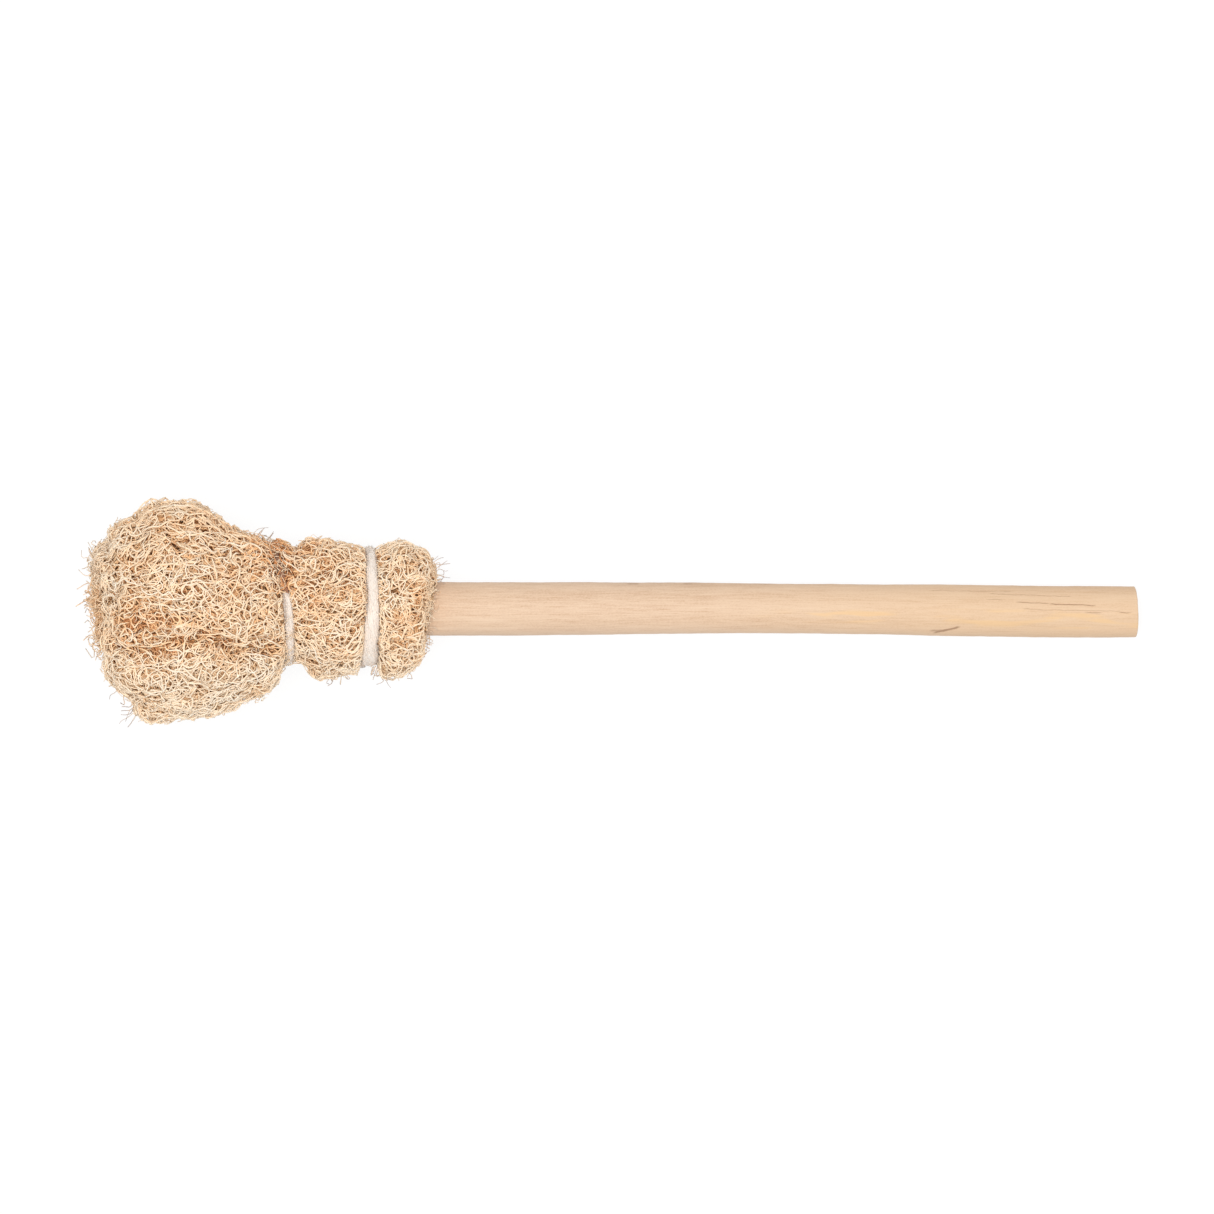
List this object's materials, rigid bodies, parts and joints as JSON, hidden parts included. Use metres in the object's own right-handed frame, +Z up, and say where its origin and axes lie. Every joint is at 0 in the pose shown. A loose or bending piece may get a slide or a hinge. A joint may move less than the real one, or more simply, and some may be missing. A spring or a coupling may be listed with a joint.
{
  "type": "loofah cleaning brush",
  "caption": "Short brush for scrubbing cups and pots: a round wooden handle with dried loofah rolled round one end and bound with cotton ties.",
  "frame": {"origin": "on the surface that the brush lies on, under the middle of its length and width", "axes": "+X along the brush from the head to the butt of the handle, +Z up, +Y to the side that the picture shows at the top"},
  "size_m": [0.1599, 0.0352, 0.0312],
  "materials": {
    "handle": "bare pale wood with a fine long grain",
    "loofah": "dry open mesh of straw-coloured fibres",
    "neck_tie": "soft cotton roving, slightly stained by the loofah",
    "collar_tie": "soft white cotton roving"
  },
  "bodies": {
    "root": {"handle": "handle", "loofah": "loofah", "neck_tie": "neck_tie", "collar_tie": "collar_tie"}
  },
  "joints": []
}
